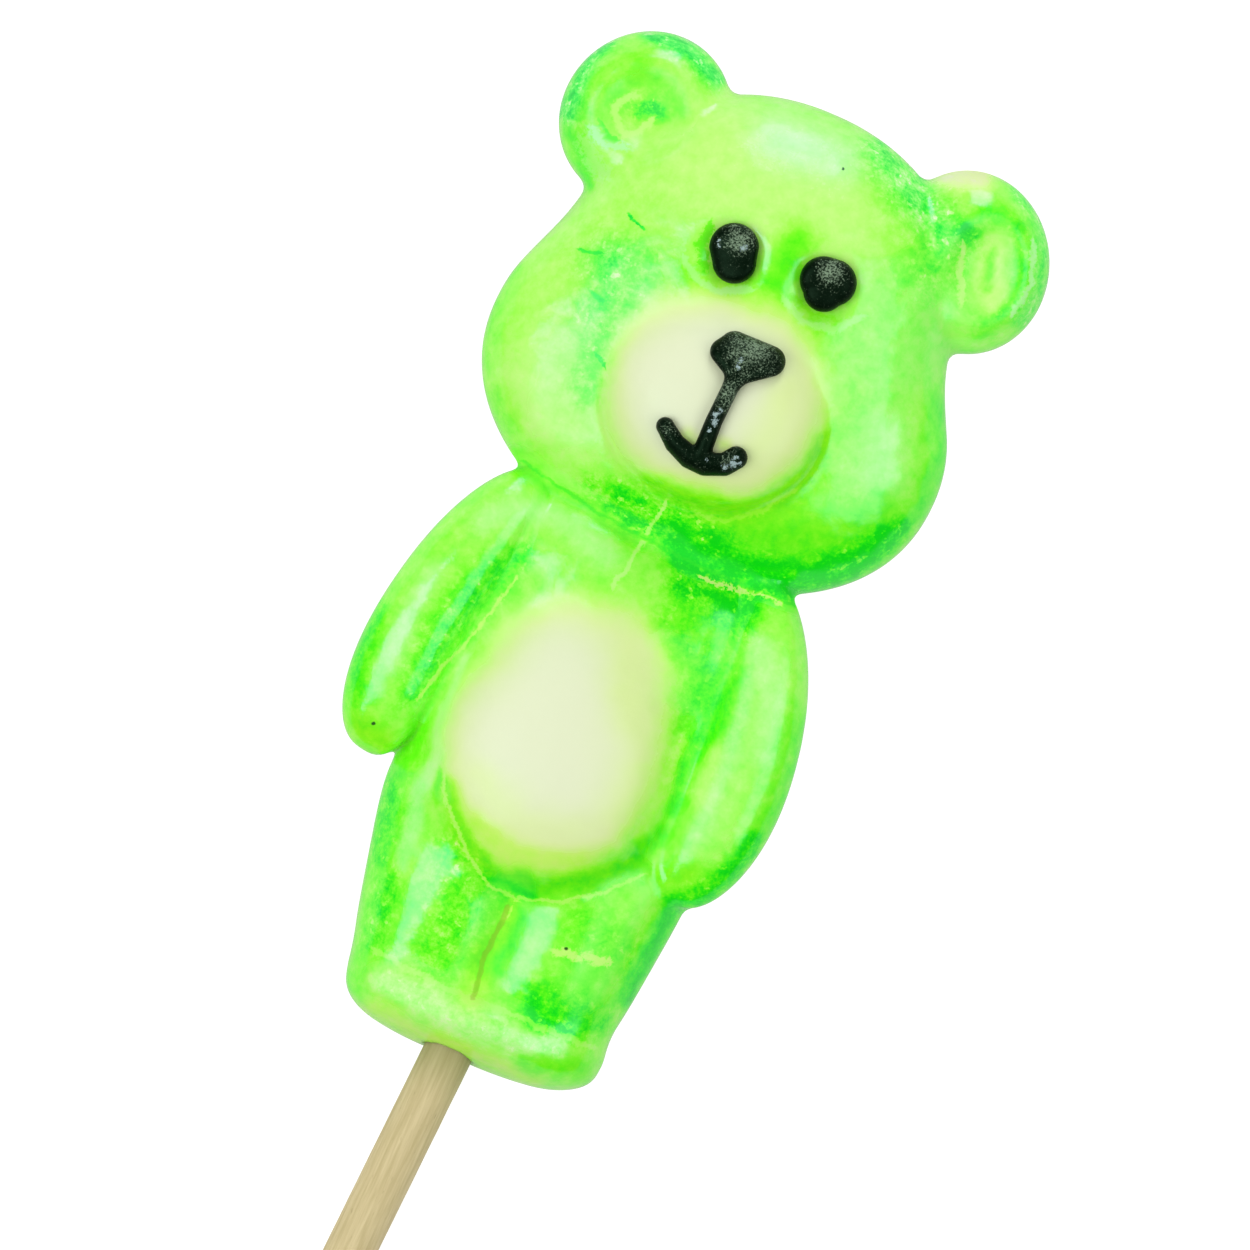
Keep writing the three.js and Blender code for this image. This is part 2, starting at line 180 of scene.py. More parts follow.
def smooth(low, high, value):
    """From 0 at low to 1 at high, with a soft start and end."""
    t = np.clip((value - low) / (high - low), 0, 1)
    return t * t * (3 - 2 * t)


def off_run(x, y, start, end):
    """How far along a straight run the place nearest to a point is, from 0 to 1, and how far off that is."""
    (ax, ay), (bx, by) = start[:2], end[:2]
    run = math.hypot(bx - ax, by - ay)
    along = np.clip(((x - ax) * (bx - ax) + (y - ay) * (by - ay)) / run ** 2, 0, 1)
    return along, np.hypot(x - ax - along * (bx - ax), y - ay - along * (by - ay))


def off_stroke(x, y, stroke):
    """How far a point is from the middle of a stroke, as a share of the stroke's half width there."""
    least = np.full(np.shape(x), np.inf)
    for start, end in zip(stroke, stroke[1:]):
        along, off = off_run(x, y, start, end)
        least = np.minimum(least, off / (start[2] + (end[2] - start[2]) * along))
    return least


def stick_axis():
    """The stick's end in the candy and the direction of its free end."""
    lean = math.radians(STICK["lean"])
    way = Vector((-math.sin(lean), -math.cos(lean), 0))
    return Vector((STICK["x"], STICK["y"], STICK["z"])) - way * STICK["inside"], way


def stick_hole(x, y, z):
    """The distance to the round hole that the stick fills."""
    start, way = stick_axis()
    along = (x - start.x) * way.x + (y - start.y) * way.y
    across = (x - start.x) * way.y - (y - start.y) * way.x
    radius = STICK["diameter"] / 2 + STICK_SEAT["play"]
    return np.maximum(np.hypot(across, z - start.z) - radius, -along)


def candy_form(x, y, z):
    d = soft_max(bear(x, y, z), -z, BACK_RIM)
    return soft_max(d, -stick_hole(x, y, z), STICK_SEAT["edge"])


def icing_form(spec):
    """Beads of icing along strokes, on the bear's own surface."""
    def distance(x, y, z):
        above = bear(x, y, z)
        off = off_stroke(x, y, spec["strokes"][0])
        for stroke in spec["strokes"][1:]:
            off = soft_min(off, off_stroke(x, y, stroke), ICING_BLEND)
        bead = np.hypot(off, np.maximum(above - ICING_RIM, 0) / (spec["height"] - ICING_RIM)) - 1
        return soft_max(bead * spec["height"], -above - ICING_SINK, ICING_EDGE)

    return distance


# ---- From a form to a mesh -------------------------------------------------------------------------

def settled(points, form, middle, reach):
    """Moves the points along the form's slope onto its surface, within reach of their cells' middles."""
    step = SETTLE["step"]
    for _ in range(SETTLE["rounds"]):
        slope = np.empty_like(points)
        for axis in range(3):
            shift = np.eye(3)[axis] * step
            slope[:, axis] = (form(*(points + shift).T) - form(*(points - shift).T)) / (2 * step)
        size = np.maximum((slope ** 2).sum(1), SETTLE["flattest"])
        points = points - slope * (form(*points.T) / size)[:, None]
    return np.clip(points, middle - reach, middle + reach)


def cell_corner(c, array):
    """What an array has at one corner of each of its grid's cells. The bits of c say which corner."""
    picks = tuple(slice((c >> axis) & 1, n - 1 + ((c >> axis) & 1)) for axis, n in enumerate(array.shape))
    return array[picks]


def crossing_means(ends):
    """The mean of the places where the surface crosses a cell's edges, from the values at its corners."""
    total = np.zeros((ends.shape[1], 3))
    number = np.zeros(ends.shape[1])
    for axis in range(3):
        for c in range(8):
            if (c >> axis) & 1:
                continue
            a, b = ends[c], ends[c | (1 << axis)]
            crossed = (a < 0) != (b < 0)
            place = np.tile([(c >> k) & 1 for k in range(3)], (len(a), 1)).astype(float)
            place[:, axis] = np.where(crossed, a / np.where(crossed, a - b, 1), 0)
            total += place * crossed[:, None]
            number += crossed
    return total / number[:, None]


def faces_between(inside, index):
    """A four-sided face round each grid edge that the surface crosses, from the points of the four cells
    that share it. index gives each cell's point."""
    faces = []
    for axis in range(3):
        u, v = np.eye(3, dtype=int)[(axis + 1) % 3], np.eye(3, dtype=int)[(axis + 2) % 3]
        along = [slice(1, n - 1) for n in inside.shape]
        here = inside[tuple(along)]
        along[axis] = slice(2, inside.shape[axis])
        there = inside[tuple(along)]
        crossed = here != there
        nodes = np.argwhere(crossed) + 1
        ring = np.stack([index[tuple((nodes - back).T)] for back in (u + v, v, 0 * u, u)], 1)
        outward = here[crossed]
        faces.append(np.where(outward[:, None], ring, ring[:, ::-1]))
    return np.concatenate(faces).tolist()


def surface_of(form, low, high, cell):
    """Points and four-sided faces of a form in a box, with a point in each cell that its surface is in."""
    axes = [np.arange(lo - cell, hi + 2 * cell, cell) for lo, hi in zip(low, high)]
    value = form(*np.meshgrid(*axes, indexing="ij"))
    inside = value < 0
    count = sum(cell_corner(c, inside).astype(int) for c in range(8))
    mixed = (count > 0) & (count < 8)
    cells = np.argwhere(mixed)
    ends = np.stack([cell_corner(c, value)[mixed] for c in range(8)])
    start = np.array([a[0] for a in axes])
    points = start + (cells + crossing_means(ends)) * cell
    points = settled(points, form, start + (cells + 0.5) * cell, SETTLE["reach"] * cell)
    index = np.full(mixed.shape, -1)
    index[mixed] = np.arange(len(cells))
    return points, faces_between(inside, index)


def mesh_piece(name, points, faces, node, material):
    """A smooth mesh that stands for a CAD node and rides with the lollipop."""
    mesh = bpy.data.meshes.new(name)
    mesh.from_pydata((np.array(points) * MM).tolist(), [], faces)
    mesh.shade_smooth()
    piece = bpy.data.objects.new(name, mesh)
    bpy.context.scene.collection.objects.link(piece)
    piece.data.materials.append(material)
    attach(piece, "root")
    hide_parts(node)
    return piece


def add_attribute(mesh, name, values):
    """Stores a number on each of a mesh's points, for its material."""
    attribute = mesh.attributes.new(name, "FLOAT", "POINT")
    attribute.data.foreach_set("value", np.asarray(values, np.float32))


# ---- The airbrushed coat, with painted highlights and painted shade --------------------------------
# dye is how thick the green coat is, from 0 (bare cream candy) to 1. sap turns it yellowish, as where a thin
# coat lies in a groove, and mint turns it bluish. speckle is how much fine droplets and bare dots break it,
# and dull is how little it shines, as in a crease where spray has settled.
# Each pass of the brush is a run of [x, y, half width], where the pass has half its full strength, and an
# edge above SOFT_EDGE makes it end more sharply there. Some passes paint light instead of coat: a paler,
# bluish coat for painted highlights, and a darker or more olive coat for painted shade on the lower and
# right-hand sides of forms.

SOFT_EDGE = 2


def drawn(line, **numbers):
    """One pass of the brush, one fine mark or one stain. Some passes and marks are painted highlights and
    painted shade.
    """
    return {"line": line, **numbers}


START = {"dye": 0.45, "sap": 0.15, "mint": 0.0, "speckle": 0.04, "dull": 0.0}
BRUSH_AND_PAINTED_LIGHT = [
    # Forehead, temples and cheeks, with painted highlights and painted shade.
    drawn([[-8, 30, 6], [2, 29, 5.5]], edge=3, dye=0.27, sap=0.35),
    drawn([[-13.5, 25, 2.6], [-15.5, 17, 3], [-15, 10, 3.6], [-9, 5.5, 2.8]], dye=0.33, sap=0.3),
    drawn([[12.6, 31, 1.5], [11.2, 28, 1.9]], dye=0.64, speckle=0.4, dull=0.5),
    drawn([[-4, 33, 3.5], [2, 33.5, 3.5]], edge=3, dull=0.14),
    # A painted highlight on the forehead: a paler, bluish coat.
    drawn([[-3.6, 33.5, 1.8], [1.6, 34, 1.7]], dye=0.28, mint=0.6),
    # Painted highlights on the right temple and cheek: a paler, bluish coat.
    drawn([[13, 25.5, 2], [13, 20, 2]], dye=0.44, mint=0.3),
    drawn([[13.6, 15.5, 1.5], [14.8, 11.5, 1.6]], dye=0.34, mint=0.4),
    drawn([[-14.5, 7, 1.8], [-12, 5, 1.5]], dye=0.27, sap=0.3),
    drawn([[-10.5, 7, 2.5], [-9.5, 11, 2.5], [-10, 18, 2.3]], dull=0.45),
    drawn([[4, 35.6, 1.2], [8.5, 33.6, 1.8], [11.5, 31.8, 1.2]], dye=0.56, mint=0.5, speckle=0.8),
    drawn([[1, 26, 1.2], [0.7, 22, 1.5]], dye=0.68),
    drawn([[-6.5, 20.3, 0.9], [-2, 20.8, 0.8], [3, 20.7, 0.8], [6.5, 20.2, 0.9]], dye=0.58, sap=0.5),
    drawn([[-11.5, 19, 1.9], [-10, 17.5, 1.9], [-10.8, 15, 1.7]], dye=0.64, mint=0.6, speckle=0.7),
    drawn([[-9.6, 20, 1.2], [-10.4, 13, 1.3], [-9.6, 9, 1.2]], dye=0.54, mint=0.25, speckle=0.4),
    drawn([[-18.6, 15, 0.8], [-19, 12, 0.8], [-18, 8, 0.8]], dye=0.5),
    drawn([[-16.5, 6.2, 0.8], [-13.8, 3.6, 0.8], [-11, 1.8, 0.9]], dye=0.52, sap=0.5),
    drawn([[-6, 2.2, 0.9], [-3.6, 2.2, 1.2]], dye=0.6, speckle=0.5),
    drawn([[9.7, 17, 1], [9.6, 12, 1]], dye=0.52, sap=0.5),
    # The head's right edge: a darker coat, partly airbrush and partly painted shade.
    drawn([[17, 19, 1.1], [18.4, 14, 1], [18.4, 10, 0.9]], dye=0.66, mint=0.1),
    drawn([[4, 3.2, 1.3], [9, 4.6, 2], [13, 6.6, 1.8], [15.6, 9.5, 1.2]], dye=0.68, sap=0.5),
    # Under the chin and along the right jaw: a darker coat, partly airbrush and partly painted shade.
    drawn([[-3.4, 1.7, 1.3], [0, 1.5, 1.7], [4, 1, 1.8]], edge=3, dye=0.84, speckle=0.9),
    drawn([[2.5, 0, 1.4], [9, 0.6, 1.8], [12.5, 2.2, 1.7], [15.6, 5.2, 1.3], [17.6, 8.5, 0.9]],
          edge=3, dye=1, sap=0, speckle=0.7),
    drawn([[-12, 1, 0.5], [-7, 0.1, 0.6], [-2, -0.5, 0.8]], dye=0.66, sap=0.6),
    # The muzzle and the groove below it.
    drawn([[-0.7, 12.4, 8.2], [0.4, 12.4, 8.2]], edge=9, dye=0.12, sap=0.9, speckle=0),
    drawn([[-1, 12.7, 6.4], [0, 12.7, 6.2]], edge=6, dye=0, sap=1),
    drawn([[5.2, 15.5, 1.2], [5.6, 11.5, 1.6], [4.6, 8.4, 1.4]], dye=0.11, sap=1),
    drawn([[-0.8, 8.7, 0.5], [-0.2, 8.3, 0.5]], dye=0.2, sap=1),
    drawn([[1.8, 8.8, 0.5], [2.3, 9, 0.4]], dye=0.2, sap=1),
    drawn([[9.6, 13, 0.5], [9.4, 10, 0.7], [8.1, 6.9, 0.9], [5.7, 4.8, 0.9], [2, 3.9, 0.8], [-2, 4.1, 0.5]],
          dye=0.64, sap=1),
    # Chest, shoulders and the body's side, with painted shade round the belly and a painted highlight on the
    # left.
    drawn([[3.5, -2.4, 1.2], [8.6, -2.6, 1.6]], edge=3, dye=0.88, speckle=0.8),
    drawn([[-13.2, -3.5, 1.1], [-11, -1.7, 1.2], [-8.5, -1.1, 1], [-3, -2.5, 1.1]], dye=0.32, mint=0.35),
    drawn([[4.5, -5.2, 1.6], [8, -7.5, 2.1], [9, -11.5, 1.5], [9.4, -17, 1]], dye=0.7, speckle=0.3),
    drawn([[-11.4, -16, 0.5], [-11, -25, 0.9]], dye=0.6, sap=0.3),
    drawn([[-0.9, -13.2, 7.4], [-0.6, -18.4, 8.8], [0.1, -21.8, 6.3]], edge=9, dye=0.17, sap=0.8, speckle=0),
    drawn([[-2, -13.6, 5.5], [-1.6, -18.4, 7.1], [-0.6, -21.2, 5.4]], edge=5, dye=0, sap=1),
    drawn([[2, -9, 1.8], [4, -13, 2]], dye=0.12, sap=1),
    drawn([[10.1, -8, 0.6], [10.2, -15, 0.7], [9.6, -19, 0.7]], dye=0.78, sap=0.3),
    # Along the belly's lower right groove: a darker coat, partly airbrush and partly painted shade.
    drawn([[9.5, -21, 0.7], [8.4, -24.4, 0.9], [6.2, -26.8, 0.9], [3, -28.5, 0.8], [-1.5, -28.9, 0.7],
           [-4.6, -27.6, 0.4]], dye=0.78, sap=0.7),
    drawn([[-5.6, -22.4, 1.1], [-0.4, -25, 1.6], [5, -23, 1.3]], dye=0.09, sap=1),
    # Along the belly's lower edge: an olive coat, partly thin coat and partly painted shade.
    drawn([[-4, -25.6, 0.7], [-0.4, -27.4, 0.9], [4.6, -25.8, 0.8]], dye=0.3, sap=1),
    drawn([[8.4, -14, 0.5], [8.5, -18, 0.65], [7.9, -21.4, 0.5]], dye=0.36, sap=0.6),
    drawn([[-7.6, -24.2, 0.4], [-5.2, -26.6, 0.7], [-3, -28.1, 0.6]], dye=0.6, sap=0.8),
    drawn([[-1.8, -29.6, 0.3], [0.5, -29.9, 0.5], [2.5, -29.6, 0.3]], dye=1, sap=0.1),
    drawn([[-9.2, -22.5, 0.25], [-7.4, -25.8, 0.3]], dye=0.66, sap=0.4),
    # A painted highlight down the body's left side: a paler, bluish coat.
    drawn([[-10.2, -14.5, 0.3], [-9.9, -19, 0.45], [-8.9, -25, 0.45]], edge=3, dye=0.27, mint=0.3),
    drawn([[-8, -6.6, 1.2], [-8.8, -11, 1.2]], edge=3, dull=0.9),
    # Creases, where the coat is dull.
    drawn([[-12.6, 1.9, 0.8], [-5, 0.5, 0.9], [4, -0.3, 0.9], [12.6, -0.1, 0.8]], edge=4, dull=1),
    drawn([[-9.8, 0, 0.5], [-9.4, -6, 0.5], [-10.5, -14, 0.5], [-11.4, -20, 0.5]], edge=3, dull=1),
    drawn([[8.6, 0, 0.5], [9.2, -8, 0.5], [9.8, -15, 0.5], [10.1, -23, 0.5]], edge=3, dull=0.9),
    drawn([[0.7, -29.5, 1.4], [0.9, -38.4, 1.8]], edge=4, dull=1),
    drawn([[-5, -38.8, 0.7], [7, -38.9, 0.7]], edge=3, dull=0.7),
    drawn([[4.5, -8, 1.6], [8, -9.5, 1.6]], edge=3, dull=0.8),
    # Left arm, with a painted highlight down it.
    drawn([[-9.2, -4.6, 0.6], [-10.6, -7, 1.2], [-11.4, -10, 1.2], [-12.2, -13, 1.1], [-12.9, -16, 1],
           [-13.2, -19, 0.7]], dye=0.74, mint=0.1, speckle=0.6),
    # A painted highlight down the left arm: a paler, bluish coat.
    drawn([[-15.2, -9, 0.8], [-15.2, -17, 0.8]], dye=0.34, mint=0.3),
    drawn([[-17.6, -13.5, 0.5], [-17.4, -18, 0.8], [-16.4, -21, 0.7]], dye=0.74, speckle=0.3),
    drawn([[-15.3, -22.6, 1], [-13.4, -23, 0.9]], dye=0.58, sap=0.9),
    # Right arm, with painted highlights down it and painted shade on its lower edge.
    # Painted highlights on the right arm's outer and inner sides: a paler coat (these three passes).
    drawn([[13.4, -5.5, 1.4], [15, -12, 1.8], [14.4, -19, 1.6]], dye=0.4),
    drawn([[11.4, -4.6, 0.9], [13.4, -8, 1.1], [14.8, -12, 0.9]], edge=3, dye=0.32, mint=0.3),
    drawn([[11.3, -13.5, 0.6], [11.3, -17, 0.9]], dye=0.3, sap=0.4),
    drawn([[15.6, -8, 0.8], [16, -14, 0.9]], dye=0.54),
    drawn([[11.6, -6, 2.3], [12.8, -13, 2.3], [12.6, -20, 2.3]], edge=4, dull=0.3),
    drawn([[16.9, -8.5, 0.6], [17.4, -14, 0.7], [16.9, -18, 0.8]], dye=0.64),
    # The right arm's lower edge: a darker coat, partly airbrush and partly painted shade.
    drawn([[16.8, -18.5, 0.6], [15.9, -21.5, 0.9], [14.8, -24, 0.9], [12.8, -25.8, 0.8]],
          edge=3, dye=0.9, speckle=0.5),
    drawn([[11, -24.6, 0.7], [12.8, -23.4, 0.8]], dye=0.62, sap=0.7),
    # Hips and legs, with painted highlights on the left hip and the feet, and painted shade on the right hip.
    drawn([[-11.5, -26, 0.9], [-10.6, -29, 1], [-10, -32, 0.7]], dye=0.78, speckle=0.5),
    drawn([[-8.8, -33.5, 0.9], [-7.9, -37.5, 1.1]], dye=0.74, mint=0.1, speckle=0.5),
    drawn([[9.2, -27, 1.2], [9, -35, 1.2]], dull=0.9),
    drawn([[-4.8, -28.6, 1.2], [-2.8, -32, 2], [-2.8, -37, 1.8]], dye=0.63, speckle=0.6),
    # A painted highlight down the left hip: a paler, bluish coat.
    drawn([[-9.2, -25.2, 0.6], [-8.6, -29, 0.8], [-8.2, -31.4, 0.5]], edge=3, dye=0.38, mint=0.5),
    drawn([[-6.8, -33.2, 0.6], [-6, -37, 0.6]], dye=0.6),
    drawn([[0.2, -30.6, 1], [2.2, -31.8, 0.9], [2.3, -36, 0.7]], dye=0.74),
    drawn([[1, -31, 0.6], [0.9, -35, 1], [1.1, -39, 1]], edge=3, dye=0.64, sap=1),
    drawn([[7, -30.3, 1.8], [10.5, -31, 1.4]], dye=0.64, speckle=0.3),
    drawn([[7.6, -34, 2], [9, -34.2, 2]], dye=0.57, mint=0.1),
    drawn([[5, -37.2, 1.1], [10.8, -36.8, 1.2]], dye=0.78, speckle=0.6),
    drawn([[6, -38, 0.6], [7.4, -38.3, 0.8], [9.5, -38.3, 0.7]], dye=1, speckle=0.7),
    # The right hip's edge: a darker coat, partly airbrush and partly painted shade.
    drawn([[13.1, -26.3, 0.8], [12.8, -29.5, 0.8], [12.3, -34, 0.6]], dye=0.95, speckle=0.2),
    # Across the feet: a pale bluish band, partly a paler coat and partly painted highlights.
    drawn([[-6, -40.6, 1], [2, -41, 1.2], [9, -40, 0.7]], edge=3, dye=0.3, mint=0.4, speckle=0.3),
    drawn([[-6, -40.4, 1.2], [0.6, -40.8, 1.2]], edge=3, sap=0.6, dull=0.8),
    drawn([[1.2, -38.4, 0.8], [1.2, -40.2, 1.1]], dye=0.34, sap=1),
    drawn([[-6, -42.8, 0.7], [2, -43.2, 0.9], [8, -42.8, 0.6]], dye=0.34, sap=1),
    drawn([[7, -42, 0.6], [11, -41.2, 0.7]], dye=0.66, sap=0.4),
    drawn([[-7.8, -41.7, 0.6], [-8.2, -39.5, 0.5]], dye=0.56),
    # Left ear.
    drawn([[-16, 36.6, 0.5], [-13, 37, 0.8], [-9.8, 35.6, 0.6]], dye=0.76, mint=0.8, speckle=0.8),
    drawn([[-18.8, 35, 0.5], [-19.9, 32, 0.6], [-19.7, 28.6, 0.8]], dye=0.76, mint=0.7, speckle=0.9),
    drawn([[-19, 27, 0.6], [-17.2, 25.3, 0.7], [-16, 23.8, 0.5]], dye=0.68, sap=0.2),
    drawn([[-16.8, 31, 1.2], [-15, 33.6, 1.3], [-12, 32.4, 1]], dye=0.57, sap=0.4),
    drawn([[-14.4, 30.7, 1.8], [-14.3, 30.6, 1.8]], edge=4, dye=0.38, sap=0.6),
    drawn([[-14.9, 30.7, 0.7], [-13.6, 31.2, 0.8]], dye=0.92, speckle=0.9),
    drawn([[-16, 29.5, 2.2], [-12.8, 32.5, 2.2]], edge=3, dull=0.6),
    # Right ear.
    drawn([[15.6, 31.8, 2.6], [16.6, 28, 2.6]], edge=3, dull=0.5),
    drawn([[19.9, 27.5, 0.5], [20.4, 30, 0.5], [19.7, 33, 0.5], [17.3, 36.1, 0.5], [15.3, 37, 0.5]],
          dye=0.6, mint=0.4, speckle=0.5),
    drawn([[17.2, 26, 0.7], [18.8, 28, 0.5], [18.8, 31.5, 0.4], [16.7, 34.4, 0.6], [13.8, 34.2, 0.7]],
          dye=0.68, sap=0.1, speckle=0.3),
    drawn([[15.7, 31.4, 1.4], [16.8, 28.6, 1.4]], edge=4, dye=0.27, sap=0.5),
    drawn([[15.7, 31.4, 0.4], [16.3, 28.8, 0.5]], edge=3, dye=0.56, sap=0.3),
    drawn([[13.3, 32.2, 0.5], [12.8, 32.6, 0.5]], dye=0.95, speckle=0.6),
    drawn([[10, 35.4, 0.7], [12.4, 36.5, 0.9]], edge=2.5, dye=0.08, sap=1, speckle=0.1),
]
# Fine marks, each a run of [x, y]. wide is a half width, share how strongly the mark shows and ragged how
# uneven its edge is. Two that lie close side by side run opposite ways, so that between them a point is on
# the same side of both.
MARKS = [
    # The mould's parting line, the crease of the neck and the crust in it.
    drawn([[-12.1, 1.7], [-5, 0.3], [4, -0.5], [12.2, -0.3]], wide=0.14, share=0.6, dye=0.9, sap=0.6),
    drawn([[-0.3, 3], [-0.6, 1], [-0.8, -1], [-1.5, -4.5]], wide=0.17, share=0.85, dye=0.26),
    drawn([[11.3, -0.4], [9.3, -0.5], [8, -1], [4.5, -1.2]],
          wide=0.2, share=0.9, ragged=1.5, dye=0.16, sap=1),
    # Round the muzzle and the eyes, with painted highlights on the lower rims of the eye hollows.
    drawn([[2, 3], [4.8, 3.8], [7, 5.5], [8.6, 8]], wide=0.2, share=0.5, dye=0.36, sap=0.6),
    drawn([[-5.7, 24.5], [-5.8, 22.8], [-4.9, 21.6]], wide=0.4, share=0.65, ragged=2, dye=0.8, sap=0.3),
    # Painted highlights on the lower rims of the eye hollows: pale bluish rings.
    drawn([[-0.9, 21.3], [-3, 20.1], [-5, 20.3], [-6.6, 21.4]], wide=0.3, share=0.55, dye=0.28, mint=0.8),
    drawn([[8, 22.6], [6.4, 20.9], [4, 20.7], [2, 21.6]], wide=0.3, share=0.5, dye=0.26, mint=0.7),
    drawn([[2.6, 22.2], [4.4, 21.5], [6.4, 21.8]], wide=0.2, share=0.4, ragged=1.5, dye=0.7, sap=1),
    # Strokes on the left cheek.
    drawn([[-12, 22.9], [-10.5, 22.4]], wide=0.13, share=0.9, dye=1, mint=0.8),
    drawn([[-14.4, 18.9], [-12.9, 19.3]], wide=0.12, share=0.7, dye=0.9, mint=0.8),
    drawn([[-12.1, 16.1], [-11.4, 15.8]], wide=0.2, share=0.7, dye=0.95, mint=0.7),
    drawn([[-9.9, 11.7], [-9.1, 11.3]], wide=0.17, share=0.8, dye=0.95, mint=0.5),
    # Ears: the ring in the left one, the wall of the pocket in the right one.
    drawn([[-15.3, 32], [-16.3, 31], [-16.3, 30], [-15, 28.6], [-13.9, 29.2], [-13.3, 30.5]],
          wide=0.28, share=0.85, dye=0.27, sap=0.5),
    drawn([[-15.3, 28.1], [-16.2, 28.4], [-17, 29]], wide=0.16, share=0.7, dye=0.8, mint=0.3),
    drawn([[-17.3, 28], [-16, 27.5], [-14.6, 27.8]], wide=0.4, share=0.8, ragged=2, dye=0.3, mint=1),
    drawn([[-15.3, 25.3], [-16.4, 25.8], [-17.6, 26.8]], wide=0.6, share=0.5, ragged=2, dye=0.3, mint=0.6),
    drawn([[13.3, 31.2], [14, 29], [15, 27]], wide=0.24, share=0.7, dye=0.2, sap=0.5),
    drawn([[19.1, 27.8], [19.5, 30.5], [18.4, 33.6]], wide=0.2, share=0.7, dye=0.24, mint=0.9),
    # Creases by the left arm and round the belly, the crack between the legs and a scratch.
    drawn([[-8.8, -7], [-10, -12], [-11.4, -15.6], [-12.2, -19]], wide=0.13, share=0.8, dye=0.26, sap=0.9),
    drawn([[-8.9, -22], [-7, -25.4], [-4, -28.4], [-1, -30.4]], wide=0.15, share=0.8, dye=0.3, sap=0.5),
    drawn([[-1, -30.4], [1.5, -30.3], [4.5, -29.2], [7.4, -27.1], [9.6, -24.8]],
          wide=0.15, share=0.7, dye=0.3, sap=0.5),
    drawn([[1.2, -30.5], [1, -32.2]], wide=0.1, share=0.7, dye=0.25, sap=1),
    drawn([[0.8, -32.8], [0.8, -36], [1.2, -38.4]], wide=0.2, share=0.45, dye=0.78, sap=1),
    drawn([[5.8, -33], [7.6, -32.7], [9.8, -32]], wide=0.3, share=0.85, ragged=1.2, dye=0.25, sap=0.8),
    drawn([[-7.5, -38.6], [0, -39.2], [5, -39], [11.4, -38.9]], wide=0.24, share=0.6, dye=0.28),
]
MARK_RAGGED = 0.6
MARK_COLOURS = ("dye", "sap", "mint")
MARK_NUMBERS = ("side", "wide", "share", "ragged", *MARK_COLOURS)  # what the candy's mesh stores of its marks
# A mark's share is stored in full up to near times its half width, and fades out to far times that and more.
MARK_STORED = {"near": 1.2, "far": 1.4, "more": 0.2}
# Waves make edges uneven, and each is [size, reach].
BRUSH_WAVES = [[4, 0.6], [1.3, 0.25]]
MARK_WAVES = [0.9, 0.25]
WAVE_LEVELS = [0.3, 7.7]  # where their noise is cut, for x and for y
# Specks of dirt, and the brown crack between the legs.
DIRT = (38, 92, 22)
CRACK = (150, 150, 0)
STAINS = [
    drawn([[6.4, -32.4]], wide=0.13, share=1.0, colour=DIRT),
    drawn([[-14.7, -22.1]], wide=0.17, share=1.0, colour=DIRT),
    drawn([[2.1, 33]], wide=0.13, share=1.0, colour=DIRT),
    drawn([[0.9, -31.2], [0.7, -35.5], [1.2, -39]], wide=0.22, share=0.4, colour=CRACK),
]
SIDE_FADE = [0.3, 1.8]  # the coat fades out down the sides between these heights, and the back is bare
FRONT_FADE = [1.5, 4]  # and the fine marks and stains fade out between these

# The coat's colours, from a dye of 0 to 1; MINT serves bluish patches of the coat and the painted highlights.
# Each is red, green and blue from 0 to 255.
COAT_STEPS = [0, 0.12, 0.25, 0.4, 0.55, 0.7, 0.85, 1.0]
GREEN = [(222, 229, 194), (210, 240, 160), (188, 250, 132), (156, 252, 86), (118, 252, 40), (80, 248, 4),
         (34, 238, 0), (0, 222, 0)]
SAP = [(222, 228, 190), (216, 234, 152), (200, 243, 108), (172, 248, 60), (140, 245, 18), (110, 238, 0),
       (68, 230, 0), (18, 214, 0)]
MINT = [(226, 238, 208), (208, 246, 190), (182, 250, 170), (148, 251, 138), (108, 252, 108), (66, 241, 86),
        (34, 229, 76), (8, 210, 58)]


def wander(x, y, size, reach):
    """Shifts points by smooth noise with features of this size, so that an edge drawn there isn't even."""
    def shift(level):
        return reach * np.array([noise.noise(Vector((a / size, b / size, level))) for a, b in zip(x, y)])

    return x + shift(WAVE_LEVELS[0]), y + shift(WAVE_LEVELS[1])


def coat_and_painted_light(x, y, z):
    """The coat's numbers at points on the candy, with its painted highlights and painted shade, without the
    fine marks.
    """
    for size, reach in BRUSH_WAVES:
        x, y = wander(x, y, size, reach)
    coat = {name: np.full(len(x), value) for name, value in START.items()}
    for stroke in BRUSH_AND_PAINTED_LIGHT:
        share = 0.5 ** off_stroke(x, y, stroke["line"]) ** stroke.get("edge", SOFT_EDGE)
        for name in START:
            coat[name] += (stroke.get(name, coat[name]) - coat[name]) * share
    coat["dye"] *= smooth(*SIDE_FADE, z)
    return coat


